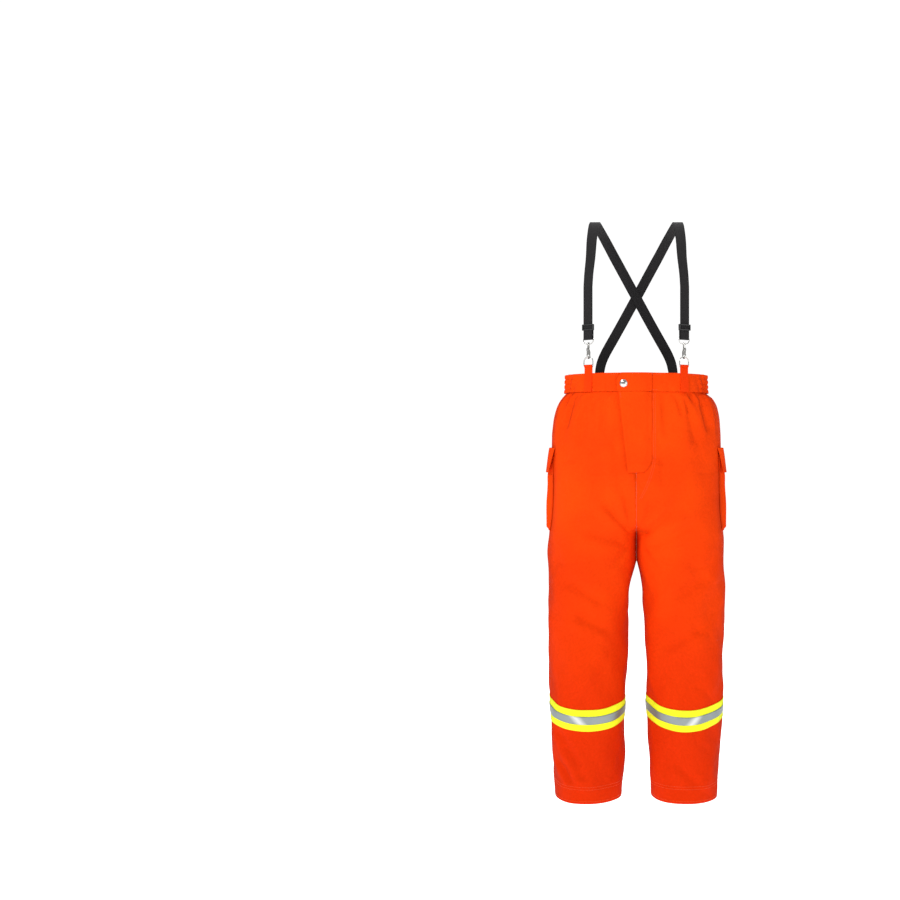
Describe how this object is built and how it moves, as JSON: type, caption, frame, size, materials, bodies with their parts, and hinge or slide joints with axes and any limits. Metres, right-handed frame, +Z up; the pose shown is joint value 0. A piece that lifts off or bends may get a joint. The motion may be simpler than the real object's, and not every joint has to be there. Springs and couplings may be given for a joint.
{
  "type": "firefighter bunker pants",
  "caption": "Orange firefighter bunker pants with crossed black clip-on suspenders, side bellows pockets with flaps, snap and zip fly and lime and silver reflective trim on the shins.",
  "frame": {"origin": "middle of the waist opening, level with the waistband's top edge, where the wearer's waist holds the pants up", "axes": "+Z up the garment, -Y the way the wearer faces, +X the wearer's left"},
  "size_m": [0.4304, 0.2669, 1.371],
  "materials": {
    "outer_shell": "matt woven aramid shell cloth, bright orange",
    "moisture_barrier": "thin coated membrane",
    "thermal_liner": "quilted dark liner cloth",
    "elastic": "ribbed waist elastic",
    "lime_trim": "fluorescent lime trim tape",
    "silver_trim": "silver retroreflective strip",
    "zip_cloth": "black zip tape with moulded teeth",
    "hook_and_loop": "black hook and loop patch",
    "nickel": "polished nickel plate",
    "brass": "cast brass",
    "black_metal": "black enamelled wire",
    "webbing": "black ribbed elastic webbing"
  },
  "bodies": {
    "trousers": {"front_panel_left": "outer_shell", "back_panel_left": "outer_shell", "moisture_barrier_left": "moisture_barrier", "thermal_liner_left": "thermal_liner", "waistband_front_left": "outer_shell", "waistband_back_left": "outer_shell", "waist_elastic_left": "elastic", "hem_facing_left": "outer_shell", "lime_tape_left": "lime_trim", "silver_strip_left": "silver_trim", "zip_tape_left": "zip_cloth", "pocket_pouch_left": "outer_shell", "pocket_header_left": "outer_shell", "pouch_loop_patch_left": "hook_and_loop", "ring_tab_left": "outer_shell", "suspender_strap_left": "webbing", "strap_tail_left": "webbing", "front_panel_right": "outer_shell", "back_panel_right": "outer_shell", "moisture_barrier_right": "moisture_barrier", "thermal_liner_right": "thermal_liner", "waistband_front_right": "outer_shell", "waistband_back_right": "outer_shell", "waist_elastic_right": "elastic", "hem_facing_right": "outer_shell", "lime_tape_right": "lime_trim", "silver_strip_right": "silver_trim", "zip_tape_right": "zip_cloth", "pocket_pouch_right": "outer_shell", "pocket_header_right": "outer_shell", "pouch_loop_patch_right": "hook_and_loop", "ring_tab_right": "outer_shell", "suspender_strap_right": "webbing", "strap_tail_right": "webbing", "waistband_facing": "thermal_liner", "snap_stud": "nickel", "fly_underlap": "outer_shell"},
    "fly": {"waistband_tab": "outer_shell", "fly_flap": "outer_shell", "snap_cap": "nickel", "snap_socket": "nickel"},
    "zip_slider": {"zip_slider": "brass", "zip_pull": "brass"},
    "left_pocket_flap": {"pocket_flap_left": "outer_shell", "flap_hook_patch_left": "hook_and_loop"},
    "left_ring": {"d_ring_left": "nickel"},
    "left_eye": {"hook_eye_left": "nickel"},
    "left_hook": {"hook_body_left": "nickel", "gate_pin_left": "nickel"},
    "left_gate": {"hook_gate_left": "nickel"},
    "left_adjuster": {"strap_adjuster_left": "black_metal"},
    "right_pocket_flap": {"pocket_flap_right": "outer_shell", "flap_hook_patch_right": "hook_and_loop"},
    "right_ring": {"d_ring_right": "nickel"},
    "right_eye": {"hook_eye_right": "nickel"},
    "right_hook": {"hook_body_right": "nickel", "gate_pin_right": "nickel"},
    "right_gate": {"hook_gate_right": "nickel"},
    "right_adjuster": {"strap_adjuster_right": "black_metal"}
  },
  "joints": [
    {"name": "fly_open", "type": "hinge", "parent": "trousers", "child": "fly", "pos_m": [0.0368, -0.11501, 0], "axis": [0, 0.0338, 0.9994], "range_deg": [0, 100]},
    {"name": "zip_slide", "type": "slide", "parent": "trousers", "child": "zip_slider", "axis": [0, -0.0232, -0.9997], "range_m": [0, 0.128]},
    {"name": "left_pocket_flap_lift", "type": "hinge", "parent": "trousers", "child": "left_pocket_flap", "pos_m": [0.20263, 0, -0.1722], "axis": [0, -1, 0], "range_deg": [0, 140]},
    {"name": "left_ring_swing", "type": "hinge", "parent": "trousers", "child": "left_ring", "pos_m": [0.11082, -0.09038, 0.0165], "axis": [0.8571, 0.5151, 0], "range_deg": [-10, 10]},
    {"name": "left_hook_swing", "type": "hinge", "parent": "trousers", "child": "left_eye", "pos_m": [0.11082, -0.09038, 0.08], "axis": [0.8571, 0.5151, 0], "range_deg": [-5.25, 5.25]},
    {"name": "left_hook_swivel", "type": "hinge", "parent": "left_eye", "child": "left_hook", "pos_m": [0.11082, -0.09038, 0.067], "axis": [0, 0, 1], "range_deg": [-30, 30]},
    {"name": "left_gate_open", "type": "hinge", "parent": "left_hook", "child": "left_gate", "pos_m": [0.11237, -0.09295, 0.0557], "axis": [0.8571, 0.5151, 0], "range_deg": [0, 25], "stiffness_Nm_per_rad": 0.05, "springref_deg": -5.73},
    {"name": "left_adjuster_slide", "type": "slide", "parent": "trousers", "child": "left_adjuster", "axis": [0, 0, 1], "range_m": [0, 0.08], "deforming": ["strap_tail_left"]},
    {"name": "right_pocket_flap_lift", "type": "hinge", "parent": "trousers", "child": "right_pocket_flap", "pos_m": [-0.20263, 0, -0.1722], "axis": [0, 1, 0], "range_deg": [0, 140]},
    {"name": "right_ring_swing", "type": "hinge", "parent": "trousers", "child": "right_ring", "pos_m": [-0.11082, -0.09038, 0.0165], "axis": [0.8571, -0.5151, 0], "range_deg": [-10, 10]},
    {"name": "right_hook_swing", "type": "hinge", "parent": "trousers", "child": "right_eye", "pos_m": [-0.11082, -0.09038, 0.08], "axis": [0.8571, -0.5151, 0], "range_deg": [-5.25, 5.25]},
    {"name": "right_hook_swivel", "type": "hinge", "parent": "right_eye", "child": "right_hook", "pos_m": [-0.11082, -0.09038, 0.067], "axis": [0, 0, 1], "range_deg": [-30, 30]},
    {"name": "right_gate_open", "type": "hinge", "parent": "right_hook", "child": "right_gate", "pos_m": [-0.11237, -0.09295, 0.0557], "axis": [0.8571, -0.5151, 0], "range_deg": [0, 25], "stiffness_Nm_per_rad": 0.05, "springref_deg": -5.73},
    {"name": "right_adjuster_slide", "type": "slide", "parent": "trousers", "child": "right_adjuster", "axis": [0, 0, 1], "range_m": [0, 0.08], "deforming": ["strap_tail_right"]}
  ],
  "couplings": [
    {"joint": "left_ring_swing", "follows": "left_hook_swing", "ratio": -1.8995},
    {"joint": "right_ring_swing", "follows": "right_hook_swing", "ratio": -1.8995}
  ]
}
